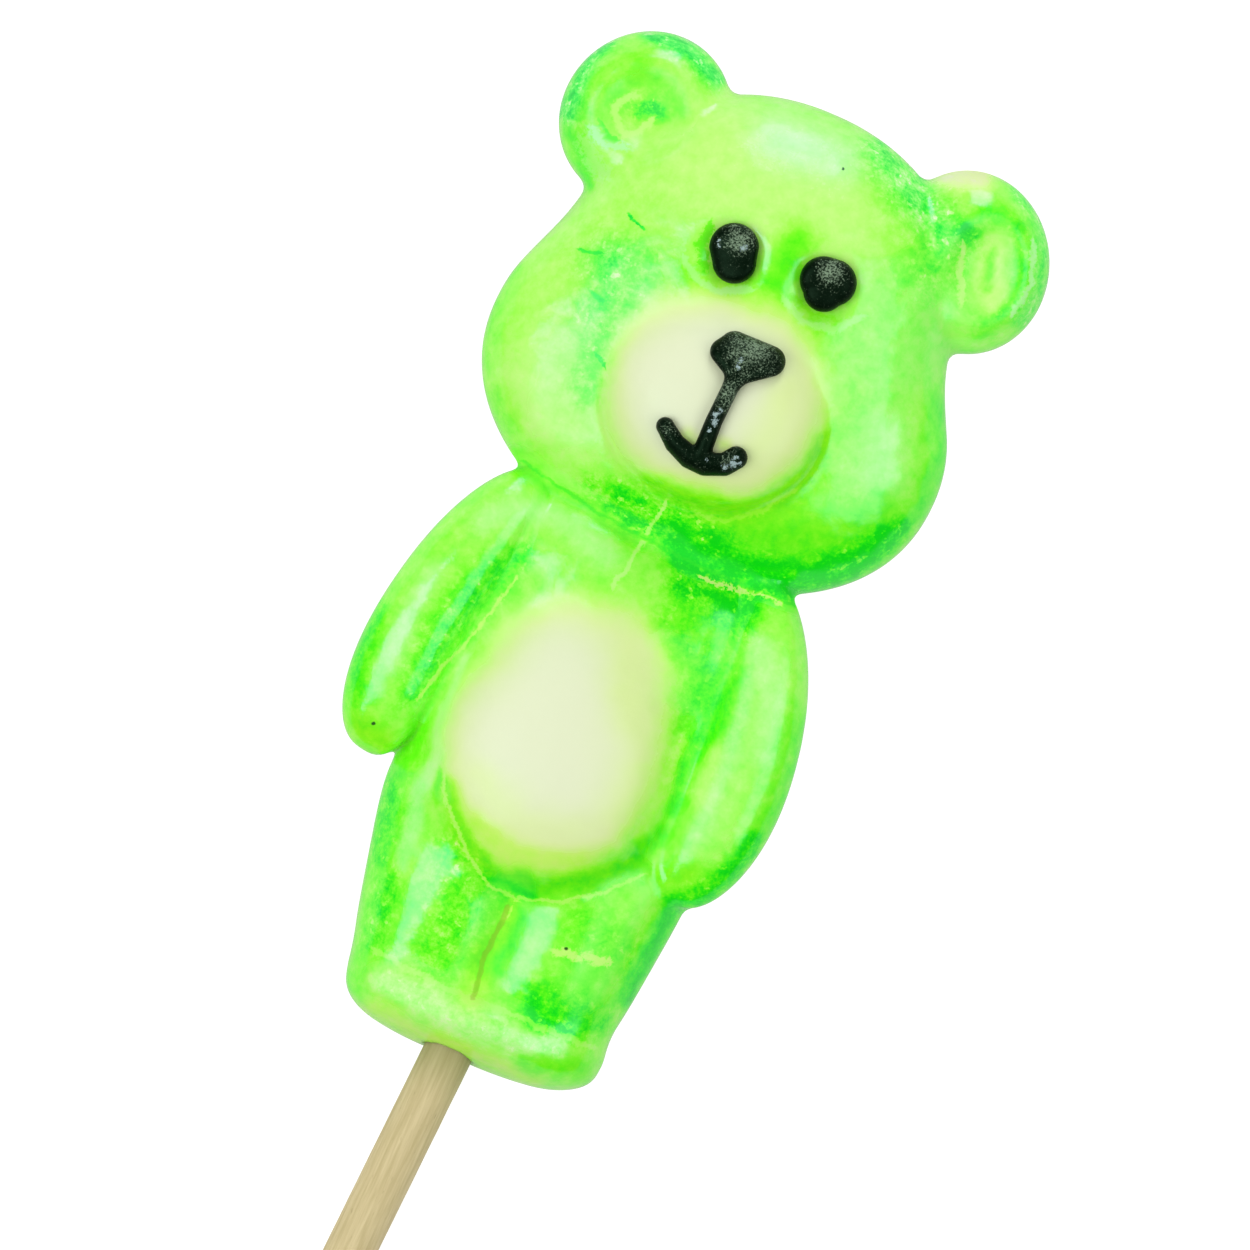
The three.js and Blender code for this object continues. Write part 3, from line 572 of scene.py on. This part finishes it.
def nearest_mark(x, y, z, coat):
    """The numbers of the fine mark nearest to points on the candy. What a mark doesn't say, the coat does.
    side is how far off its middle line a point is, and is above 0 on the right of it, so that it runs evenly
    through 0 from one point of the mesh to the next."""
    x, y = wander(x, y, *MARK_WAVES)
    least = np.full(len(x), np.inf)
    found = {name: np.ones(len(x)) for name in MARK_NUMBERS}
    for mark in MARKS:
        near = MARK_STORED["near"] * mark["wide"]
        far = MARK_STORED["far"] * near + MARK_STORED["more"]
        for (ax, ay), (bx, by) in zip(mark["line"], mark["line"][1:]):
            away = off_run(x, y, (ax, ay), (bx, by))[1]
            right = (x - ax) * (by - ay) > (y - ay) * (bx - ax)
            numbers = {"ragged": MARK_RAGGED, **coat, **mark}
            numbers["side"] = np.where(right, away, -away)
            numbers["share"] = mark["share"] * smooth(*FRONT_FADE, z) * (1 - smooth(near, far, away))
            for name in MARK_NUMBERS:
                found[name] = np.where(away < least, numbers[name], found[name])
            least = np.minimum(least, away)
    return found


# ---- Materials -------------------------------------------------------------------------------------
# A noise has features of this size in millimetres, so many steps of finer detail, and so much of each. The
# noises run from about -0.5 to 0.5. A range is where a number starts to count and where it counts in full.
# An edge is where a line or a dot ends, from full to none, as shares of its half width.

RAGGED = {"size": 0.9, "reach": 0.5}  # the waves of the edges of stains, dust and sugar

MOTTLE = {"size": 1.2, "detail": 5.0, "rough": 0.62}
GRAIN = {"size": 0.3, "detail": 3.0, "rough": 0.6}
BARE_DOTS = {"size": 0.8, "detail": 2.0, "rough": 0.5}
RIPPLE = {"size": 2.4, "detail": 1.0, "rough": 0.4}
DROPLETS = {"mottle": 0.9, "grain": 0.4, "speckle": 1.5, "bump": 0.1}  # their makeup and how much they count
MOTTLED_RANGE = [0.05, 0.6]  # of dye
MOTTLED_MOST = 0.5
DOT_RANGE = [0.12, 0.17]  # of noise
DOT_MOST = 0.42
MARK_EDGE = [0.5, 1.6]
STAIN_EDGE = [0.6, 1.3]
COATED_RANGE = [0.06, 0.32]  # of dye
GLOSS_RANGE = [-0.3, 0.3]  # of mottle
COAT_ROUGHNESS = [0.1, 0.22]
BARE_ROUGHNESS = 0.55
DULL_ROUGHNESS = 0.85
COAT_SHINE = 0.85
COAT_TINT = (0.55, 0.85, 0.95, 1.0)
CANDY_BUMP = {"strength": 0.5, "depth": 0.3}

ICING_GRAIN = {"size": 0.16, "detail": 3.0, "rough": 0.7}
ICING_PATCHES = {"size": 0.9, "detail": 2.0, "rough": 0.55}
ICING_BLACK = (2, 14, 4)
ICING_DUST_AND_SHEEN = (124, 146, 120)
ICING_RANGE = [-0.1, 0.2]  # of grain
ICING_ROUGHNESS = [0.35, 0.6]
ICING_SHINE = 0.14
ICING_TINT = (0.4, 0.9, 0.5, 1.0)  # it mirrors the green round it
ICING_BUMP = {"strength": 0.5, "depth": 0.05}
# Patches of fine sugar dust on the icing, which also paint the sheen on the upper sides of the eyes,
# each [x, y, half width, how thick it lies in the middle].
DUST_AND_SHEEN = [
    [-3.2, 24.6, 2.1, 0.28], [4.5, 25.1, 2, 0.25], [1.2, 17, 4.2, 0.22], [0.75, 12.8, 2.4, 0.19],
    [-2.4, 8.5, 1.4, 0.14], [2.9, 8.4, 1.4, 0.15],
]
DUST_AND_SHEEN_ELSEWHERE = -0.08
DUST_AND_SHEEN_UNEVEN = 0.25
DUST_AND_SHEEN_RANGE = [0.02, 0.28]  # of thickness and grain together
# Grains of white sugar on the icing, and painted glints on the nose's stem and at the mouth's right end,
# each [x, y, half width].
SUGAR_AND_GLINTS = [
    [-2.6, 24.1, 0.22], [-4.6, 23.9, 0.14], [-4.5, 23.5, 0.1], [0.7, 15.8, 0.13], [0.75, 15.3, 0.1],
    [0.5, 11.1, 0.26], [0.75, 10.5, 0.26], [0.55, 9.8, 0.16], [0.8, 11.6, 0.14], [1.35, 7.5, 0.1],
    [2.9, 7.6, 0.2], [3.4, 8, 0.26], [3.3, 8.6, 0.16], [3.8, 8.3, 0.16],
]
SUGAR_AND_GLINTS_COLOUR = (150, 172, 172)
SUGAR_AND_GLINTS_EDGE = [0.5, 1.2]

# The stick's grain and pores are drawn out along it, which is close to Y.
WOOD_GRAIN = {"size": 0.35, "detail": 4.0, "rough": 0.6}
WOOD_GRAIN_STRETCH = (1, 0.06, 1)
WOOD_PORES = {"size": 0.2, "detail": 2.0, "rough": 0.55}
WOOD_PORES_STRETCH = (1, 0.2, 1)
# stain is painted shadow of the candy on the stick, tinged green.
WOOD = {"dark": (184, 168, 118), "light": (214, 198, 152), "pore": (150, 132, 88), "stain": (120, 124, 62)}
WOOD_RANGE = [-0.3, 0.3]  # of grain, from dark to light
PORE_RANGE = [0.14, 0.3]  # of noise
PORE_MOST = 0.5
WOOD_SHADOW_RANGE = [-48, -43.5]  # of y: painted shadow of the candy, tinged green, up to the feet
WOOD_SHADOW_MOST = 0.5
WOOD_ROUGHNESS = 0.7
WOOD_BUMP = {"strength": 0.4, "depth": 0.08}

MIX_COLOURS = (6, 7)  # the Mix node's sockets for colours
MIX_COLOUR_OUT = 2


def linear(colour):
    """A colour from 0 to 255 a channel, as a shader takes it."""
    shares = [c / 255 for c in colour]
    return [s / 12.92 if s <= 0.04045 else ((s + 0.055) / 1.055) ** 2.4 for s in shares] + [1.0]


class Nodes:
    """A short way to write a material's nodes."""

    def __init__(self, name):
        self.material = bpy.data.materials.new(name)
        self.material.use_nodes = True
        self.tree = self.material.node_tree
        self.shader = self.tree.nodes["Principled BSDF"]

    def add(self, kind, inputs=None, **settings):
        """A new node with these inputs, each a number or another node's output."""
        node = self.tree.nodes.new("ShaderNode" + kind)
        for key, value in settings.items():
            setattr(node, key, value)
        for key, value in (inputs or {}).items():
            self.wire(value, node.inputs[key])
        return node

    def wire(self, value, socket):
        if isinstance(value, bpy.types.NodeSocket):
            self.tree.links.new(value, socket)
        else:
            socket.default_value = value

    def attribute(self, name):
        """A number that the mesh stores on its points."""
        return self.add("Attribute", attribute_name=name).outputs["Fac"]

    def math(self, operation, a, b=0.0, clamp=False):
        return self.add("Math", {0: a, 1: b}, operation=operation, use_clamp=clamp).outputs[0]

    def vector(self, operation, a, b=None, scale=None):
        given = {key: value for key, value in {0: a, 1: b, "Scale": scale}.items() if value is not None}
        node = self.add("VectorMath", given, operation=operation)
        return node.outputs["Value" if operation in ("DOT_PRODUCT", "LENGTH") else "Vector"]

    def off_line(self, place, line):
        """How far a place is from a run of points, in millimetres."""
        least = None
        for start, end in zip(line, line[1:] or line):
            run = Vector((end[0] - start[0], end[1] - start[1], 0))
            nearest = self.vector("SUBTRACT", place, (*start, 0))
            if run.length > 0:
                along = self.vector("DOT_PRODUCT", nearest, run / run.length_squared)
                along = self.math("ADD", along, 0.0, clamp=True)
                nearest = self.vector("SUBTRACT", nearest, self.vector("SCALE", run, scale=along))
            off = self.vector("LENGTH", nearest)
            least = off if least is None else self.math("MINIMUM", least, off)
        return least

    def blend(self, share, a, b):
        """The number a, moved this share of the way to b."""
        return self.math("ADD", a, self.math("MULTIPLY", self.math("SUBTRACT", b, a), share))

    def remap(self, value, low, high, to_low=0.0, to_high=1.0):
        """A number between to_low and to_high, as value goes from low to high."""
        inputs = {"Value": value, "From Min": low, "From Max": high, "To Min": to_low, "To Max": to_high}
        return self.add("MapRange", inputs, interpolation_type="SMOOTHSTEP").outputs["Result"]

    def mix(self, share, a, b):
        """The colour a, moved this share of the way to b."""
        inputs = {"Factor": share, MIX_COLOURS[0]: a, MIX_COLOURS[1]: b}
        return self.add("Mix", inputs, data_type="RGBA").outputs[MIX_COLOUR_OUT]

    def ramp(self, value, steps, colours):
        """The colour that a number stands for, between the steps that have the colours."""
        node = self.add("ValToRGB", {0: value})
        elements = node.color_ramp.elements
        while len(elements) < len(steps):
            elements.new(0.5)
        for element, step, colour in zip(elements, steps, colours):
            element.position = step
            element.color = linear(colour)
        return node.outputs["Color"]

    def place(self, stretch=(1, 1, 1)):
        """Object coordinates in millimetres, each times its stretch."""
        inputs = {"Vector": self.add("TexCoord").outputs["Object"], "Scale": [s / MM for s in stretch]}
        return self.add("Mapping", inputs).outputs["Vector"]

    def part(self, place, axis):
        """One of a place's three coordinates."""
        return self.add("SeparateXYZ", {0: place}).outputs[axis]

    def level(self, place):
        """The place without its height, shifted a little so that an edge drawn there isn't even."""
        ragged = self.add("TexNoise", {"Vector": place, "Scale": 1 / RAGGED["size"]})
        shift = self.vector("SUBTRACT", ragged.outputs["Color"], (0.5, 0.5, 0.5))
        shifted = self.vector("ADD", place, self.vector("SCALE", shift, scale=RAGGED["reach"]))
        return self.vector("MULTIPLY", shifted, (1, 1, 0))

    def noise(self, place, size, detail, rough):
        """Noise about 0."""
        inputs = {"Vector": place, "Scale": 1 / size, "Detail": detail, "Roughness": rough}
        return self.math("SUBTRACT", self.add("TexNoise", inputs).outputs["Fac"], 0.5)

    def edged(self, off, wide, edge, most=1.0):
        """Most in the middle of a line or a dot, and none beyond its edge."""
        return self.remap(off, edge[0] * wide, edge[1] * wide, most, 0.0)

    def bump(self, height, strength, depth):
        """A bump of this depth in millimetres."""
        node = self.add("Bump", {"Strength": strength, "Distance": depth * MM, "Height": height})
        self.wire(node.outputs["Normal"], self.shader.inputs["Normal"])


def broken_dye(n, place, coat, mottle, droplets):
    """How thick the coat is, broken up by its mottle, the droplets and the bare dots."""
    uneven = n.math("MULTIPLY", mottle, n.remap(coat["dye"], *MOTTLED_RANGE, 0.0, MOTTLED_MOST))
    speckled = n.math("MULTIPLY", droplets, n.math("MULTIPLY", coat["speckle"], DROPLETS["speckle"]))
    bare = n.remap(n.noise(place, **BARE_DOTS), *DOT_RANGE)
    dots = n.math("MULTIPLY", n.math("MULTIPLY", bare, coat["speckle"]), DOT_MOST)
    dye = n.math("ADD", coat["dye"], n.math("ADD", uneven, speckled))
    return n.math("SUBTRACT", dye, dots, clamp=True)


def marked(n, coat, grain):
    """The coat with the fine marks on it, among them painted highlights."""
    mark = {name: n.attribute("mark_" + name) for name in MARK_NUMBERS}
    off = n.math("ADD", n.math("ABSOLUTE", mark["side"]), n.math("MULTIPLY", grain, mark["ragged"]))
    line = n.remap(n.math("DIVIDE", off, mark["wide"]), *MARK_EDGE, 1.0, 0.0)
    share = n.math("MULTIPLY", line, mark["share"])
    return {**coat, **{name: n.blend(share, coat[name], mark[name]) for name in MARK_COLOURS}}


def coat_colour(n, coat):
    green = n.ramp(coat["dye"], COAT_STEPS, GREEN)
    sappy = n.mix(coat["sap"], green, n.ramp(coat["dye"], COAT_STEPS, SAP))
    return n.mix(coat["mint"], sappy, n.ramp(coat["dye"], COAT_STEPS, MINT))


def stained(n, place, colour):
    """The colour with the stains on it."""
    level = n.level(place)
    front = n.remap(n.part(place, "Z"), *FRONT_FADE)
    for stain in STAINS:
        share = n.edged(n.off_line(level, stain["line"]), stain["wide"], STAIN_EDGE, stain["share"])
        colour = n.mix(n.math("MULTIPLY", share, front), colour, linear(stain["colour"]))
    return colour


def coat_roughness(n, coat, mottle):
    """The coat is glossy but dull in creases, and bare candy is in between."""
    glossy = n.remap(mottle, *GLOSS_RANGE, *COAT_ROUGHNESS)
    coated = n.blend(coat["dull"], glossy, DULL_ROUGHNESS)
    return n.blend(n.remap(coat["dye"], *COATED_RANGE), BARE_ROUGHNESS, coated)


def candy_material():
    """Cream candy with the airbrushed coat, the fine marks and the stains on it, and painted highlights and
    painted shade in the coat's colour.
    """
    n = Nodes("candy")
    place = n.place()
    mottle = n.noise(place, **MOTTLE)
    grain = n.noise(place, **GRAIN)
    coarse = n.math("MULTIPLY", mottle, DROPLETS["mottle"])
    droplets = n.math("ADD", coarse, n.math("MULTIPLY", grain, DROPLETS["grain"]))
    coat = {name: n.attribute(name) for name in START}
    coat["dye"] = broken_dye(n, place, coat, mottle, droplets)
    coat = marked(n, coat, grain)
    n.wire(stained(n, place, coat_colour(n, coat)), n.shader.inputs["Base Color"])
    n.wire(coat_roughness(n, coat, mottle), n.shader.inputs["Roughness"])
    n.shader.inputs["Specular IOR Level"].default_value = COAT_SHINE
    n.shader.inputs["Specular Tint"].default_value = COAT_TINT
    ripple = n.noise(place, **RIPPLE)
    n.bump(n.math("ADD", ripple, n.math("MULTIPLY", droplets, DROPLETS["bump"])), **CANDY_BUMP)
    return n.material


def dust_and_sheen(n, place, level, grain):
    """How much of the icing the fine sugar dust covers, with the painted sheen on the upper sides of the
    eyes.
    """
    patches = n.noise(place, **ICING_PATCHES)
    thick = n.math("ADD", n.math("MULTIPLY", patches, DUST_AND_SHEEN_UNEVEN), DUST_AND_SHEEN_ELSEWHERE)
    for x, y, wide, most in DUST_AND_SHEEN:
        thick = n.math("ADD", thick, n.remap(n.off_line(level, [[x, y]]), 0, wide, most, 0.0))
    return n.remap(n.math("ADD", grain, thick), *DUST_AND_SHEEN_RANGE)


def icing_material():
    """Black icing with sugar dust, grains and painted glints on it, and painted sheen on the upper sides of
    the eyes.
    """
    n = Nodes("icing")
    place = n.place()
    level = n.level(place)
    grain = n.noise(place, **ICING_GRAIN)
    colour = n.mix(dust_and_sheen(n, place, level, grain), linear(ICING_BLACK), linear(ICING_DUST_AND_SHEEN))
    for x, y, wide in SUGAR_AND_GLINTS:
        off = n.math("ADD", n.off_line(level, [[x, y]]), grain)
        colour = n.mix(n.edged(off, wide, SUGAR_AND_GLINTS_EDGE), colour, linear(SUGAR_AND_GLINTS_COLOUR))
    n.wire(colour, n.shader.inputs["Base Color"])
    n.wire(n.remap(grain, *ICING_RANGE, *ICING_ROUGHNESS), n.shader.inputs["Roughness"])
    n.shader.inputs["Specular IOR Level"].default_value = ICING_SHINE
    n.shader.inputs["Specular Tint"].default_value = ICING_TINT
    n.bump(grain, **ICING_BUMP)
    return n.material


def wood_material():
    """Pale wood, with painted shadow of the candy, tinged green, where it enters it."""
    n = Nodes("wood")
    grain = n.noise(n.place(WOOD_GRAIN_STRETCH), **WOOD_GRAIN)
    pores = n.remap(n.noise(n.place(WOOD_PORES_STRETCH), **WOOD_PORES), *PORE_RANGE)
    colour = n.mix(n.remap(grain, *WOOD_RANGE), linear(WOOD["dark"]), linear(WOOD["light"]))
    # Painted shadow of the candy, darker and greener towards the feet.
    stain = n.remap(n.part(n.place(), "Y"), *WOOD_SHADOW_RANGE, 0.0, WOOD_SHADOW_MOST)
    colour = n.mix(stain, colour, linear(WOOD["stain"]))
    colour = n.mix(n.math("MULTIPLY", pores, PORE_MOST), colour, linear(WOOD["pore"]))
    n.wire(colour, n.shader.inputs["Base Color"])
    n.shader.inputs["Roughness"].default_value = WOOD_ROUGHNESS
    n.bump(grain, **WOOD_BUMP)
    return n.material


def dim_in_mirrors(tree, level, mirrored, socket):
    """Gives a light its level, and a lower one in reflections."""
    remap = tree.nodes.new("ShaderNodeMapRange")
    remap.inputs["To Min"].default_value = level
    remap.inputs["To Max"].default_value = mirrored
    ray = tree.nodes.new("ShaderNodeLightPath")
    tree.links.new(ray.outputs["Is Glossy Ray"], remap.inputs["Value"])
    tree.links.new(remap.outputs["Result"], socket)


def floor_material():
    material = bpy.data.materials.new("floor")
    material.use_nodes = True
    shader = material.node_tree.nodes["Principled BSDF"]
    shader.inputs["Base Color"].default_value = [FLOOR["colour"]] * 3 + [1]
    shader.inputs["Roughness"].default_value = FLOOR["roughness"]
    shader.inputs["Emission Color"].default_value = WHITE
    dim_in_mirrors(material.node_tree, FLOOR["glow"], FLOOR["mirrored"], shader.inputs["Emission Strength"])
    return material


# ---- Pieces ----------------------------------------------------------------------------------------

def make_candy():
    """The candy, with the numbers of its coat and marks on its points."""
    points, faces = surface_of(candy_form, *CANDY_BOX, CANDY_CELL)
    piece = mesh_piece("candy", points, faces, "candy_body", candy_material())
    coat = coat_and_painted_light(*points.T)
    for name, values in coat.items():
        add_attribute(piece.data, name, values)
    for name, values in nearest_mark(*points.T, coat).items():
        add_attribute(piece.data, "mark_" + name, values)


def make_icing():
    material = icing_material()
    for node, spec in ICING.items():
        ends = np.array([p for stroke in spec["strokes"] for p in stroke])
        low = [*(ends[:, :2] - ends[:, 2:]).min(0), ICING_LEVELS[0]]
        high = [*(ends[:, :2] + ends[:, 2:]).max(0), ICING_LEVELS[1]]
        points, faces = surface_of(icing_form(spec), low, high, ICING_CELL)
        mesh_piece(node + "_icing", points, faces, node, material)


def stick_profile():
    """The stick's rings, each as [how far along it is, radius], from its end in the candy to its free end."""
    length, radius, groove = STICK["length"], STICK["diameter"] / 2, STICK["groove"]
    depths = [groove * (1 - math.sin(math.radians(a))) for a in (0, 30, 60, 90)]
    end = [(0, r) for r in STICK_END] + [(depth, radius - depth) for depth in depths]
    middle = [(groove + (length - 2 * groove) * k / STICK_RINGS, radius) for k in range(1, STICK_RINGS)]
    return end + middle + [(length - along, r) for along, r in reversed(end)]


def stick_ring(along, radius):
    """A ring of points round the stick, a little rough on its outside."""
    start, way = stick_axis()
    side, up = Vector((-way.y, way.x, 0)), Vector((0, 0, 1))
    ring = []
    for k in range(STICK_SIDES):
        a = 2 * math.pi * k / STICK_SIDES
        r = radius
        if radius > STICK_ROUGH["from"]:
            across, length = STICK_ROUGH["across"], STICK_ROUGH["along"]
            place = Vector((math.cos(a) * across, math.sin(a) * across, along * length))
            r -= abs(STICK_ROUGH["depth"] * noise.noise(place))
        ring.append(start + way * along + (side * math.cos(a) + up * math.sin(a)) * r)
    return ring


def make_stick():
    """The stick: its rings of points between the middles of its two ends."""
    profile = stick_profile()
    start, way = stick_axis()
    points = [start]
    for along, radius in profile:
        points += stick_ring(along, radius)
    points.append(start + way * STICK["length"])
    first_of = [1 + ring * STICK_SIDES for ring in range(len(profile))]
    faces = []
    for k in range(STICK_SIDES):
        after = (k + 1) % STICK_SIDES
        faces.append([0, 1 + after, 1 + k])
        for a, b in zip(first_of, first_of[1:]):
            faces.append([a + k, a + after, b + after, b + k])
        faces.append([first_of[-1] + k, first_of[-1] + after, len(points) - 1])
    mesh_piece("wooden_stick", points, faces, "stick", wood_material())


def make_floor():
    bpy.ops.mesh.primitive_plane_add(size=FLOOR["size"] * MM)
    floor = bpy.context.object
    floor.name = "floor"
    floor.data.materials.append(floor_material())


def make_world():
    """An even white light from all round."""
    world = bpy.data.worlds.new("studio")
    bpy.context.scene.world = world
    world.use_nodes = True
    background = world.node_tree.nodes["Background"]
    background.inputs["Color"].default_value = WHITE
    strength = background.inputs["Strength"]
    dim_in_mirrors(world.node_tree, WORLD_LIGHT["level"], WORLD_LIGHT["mirrored"], strength)


def make_softboxes():
    target = Vector((VIEW["x"], VIEW["y"], LIT_HEIGHT)) * MM
    for name, box in SOFTBOXES.items():
        light = bpy.data.lights.new("softbox_" + name, "AREA")
        light.shape = "RECTANGLE"
        light.size, light.size_y = box["wide"] * MM, box["long"] * MM
        light.energy = box["radiance"] * math.pi * light.size * light.size_y
        lamp = bpy.data.objects.new("softbox_" + name, light)
        bpy.context.scene.collection.objects.link(lamp)
        azimuth, up = math.radians(box["azimuth"]), math.radians(box["up"])
        way = Vector((math.cos(azimuth) * math.cos(up), math.sin(azimuth) * math.cos(up), math.sin(up)))
        lamp.location = target + way * SOFTBOX_AWAY * MM
        lamp.rotation_euler = way.to_track_quat("Z", "Y").to_euler()
        lamp.visible_camera = False


def make_camera():
    camera = bpy.data.objects.new("camera", bpy.data.cameras.new("camera"))
    bpy.context.scene.collection.objects.link(camera)
    camera.data.sensor_width = VIEW["sensor"]
    camera.data.lens = VIEW["sensor"] * VIEW["distance"] / VIEW["width"]
    camera.location = Vector((VIEW["x"], VIEW["y"], VIEW["distance"])) * MM
    camera.rotation_euler = (0, 0, math.radians(VIEW["turn"]))
    bpy.context.scene.camera = camera
    bpy.context.scene.view_settings.view_transform = "Standard"


make_camera()
make_candy()
make_icing()
make_stick()
make_floor()
make_world()
make_softboxes()
